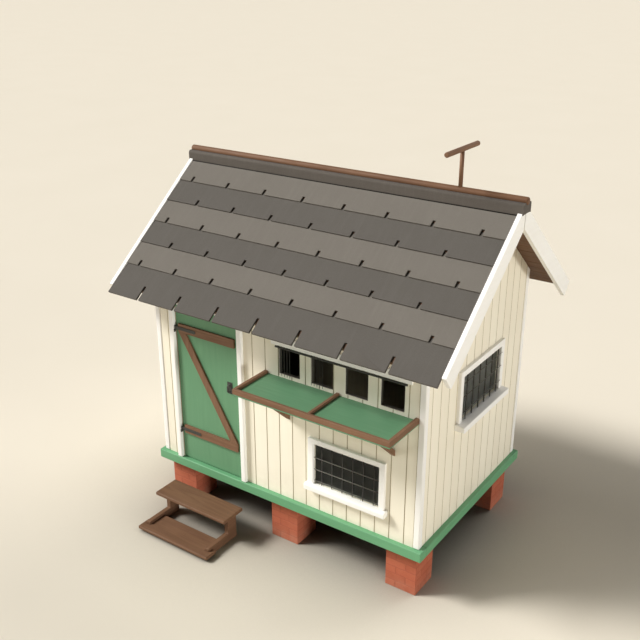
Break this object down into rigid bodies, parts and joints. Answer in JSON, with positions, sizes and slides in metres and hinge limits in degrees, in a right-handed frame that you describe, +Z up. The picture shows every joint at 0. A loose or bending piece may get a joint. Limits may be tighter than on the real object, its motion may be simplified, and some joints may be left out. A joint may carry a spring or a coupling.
{
  "type": "timber pigeon loft",
  "caption": "Raised timber dovecote on brick piers with a shingled gable roof, ledged door, landing board, bird openings, barred windows, ridge perch and loose steps.",
  "frame": {"origin": "on the ground, under the middle of the whole outline, loose steps included", "axes": "+X to the right along the front wall, +Y to the back, +Z up"},
  "size_m": [3.536, 2.948, 3.7601],
  "materials": {
    "brick": "matte",
    "base_green": "satin paint",
    "door_green": "satin paint",
    "cladding": "matte paint",
    "white_trim": "satin paint",
    "bare_timber": "matte",
    "roof_boards": "matte",
    "light_shingle": "matte",
    "dark_shingle": "matte",
    "ridge": "matte",
    "brown_timber": "matte",
    "step_timber": "matte",
    "ironwork": "satin black",
    "wire": "dull"
  },
  "bodies": {
    "loft": {"brick_piers": "brick", "base_long_beams": "base_green", "base_end_beams": "base_green", "landing_board": "base_green", "front_wall_left": "cladding", "front_wall_over_door": "cladding", "front_wall_right": "cladding", "back_wall": "cladding", "right_gable_wall": "cladding", "left_gable_wall": "cladding", "corner_posts": "white_trim", "door_side_trims": "white_trim", "door_head_trim": "white_trim", "opening_head_board": "white_trim", "front_window_frame": "white_trim", "front_window_sill": "white_trim", "gable_window_frames": "white_trim", "gable_window_sills": "white_trim", "bargeboards": "white_trim", "floor_boards": "bare_timber", "floor_joists": "bare_timber", "door_stops": "bare_timber", "front_roof_deck": "roof_boards", "back_roof_deck": "roof_boards", "light_shingles": "light_shingle", "dark_shingles": "dark_shingle", "ridge_cap": "ridge", "ridge_pole": "brown_timber", "perch_post": "brown_timber", "perch_bar": "brown_timber", "landing_front_lip": "brown_timber", "landing_side_lips": "brown_timber", "landing_divider": "brown_timber", "landing_struts": "brown_timber", "step_treads": "step_timber", "step_cheeks": "step_timber", "hinge_pins": "ironwork", "drop_wire_rail": "wire"},
    "door": {"door_leaf": "door_green", "door_ledges": "brown_timber", "door_brace": "brown_timber", "hinge_straps": "ironwork", "door_handle": "ironwork"},
    "drop_wires_left": {"drop_wires_1": "wire"},
    "drop_wires_right": {"drop_wires_2": "wire"}
  },
  "joints": [
    {"name": "door_hinge", "type": "hinge", "parent": "loft", "child": "door", "pos_m": [-1.192, -0.84345, 1.4], "axis": [0, 0, 1], "range_deg": [-110, 0]},
    {"name": "left_wires_swing", "type": "hinge", "parent": "loft", "child": "drop_wires_left", "pos_m": [0.1185, -0.83495, 2.054], "axis": [1, 0, 0], "range_deg": [-80, 0]},
    {"name": "right_wires_swing", "type": "hinge", "parent": "loft", "child": "drop_wires_right", "pos_m": [0.4635, -0.83495, 2.054], "axis": [1, 0, 0], "range_deg": [-80, 0]}
  ]
}
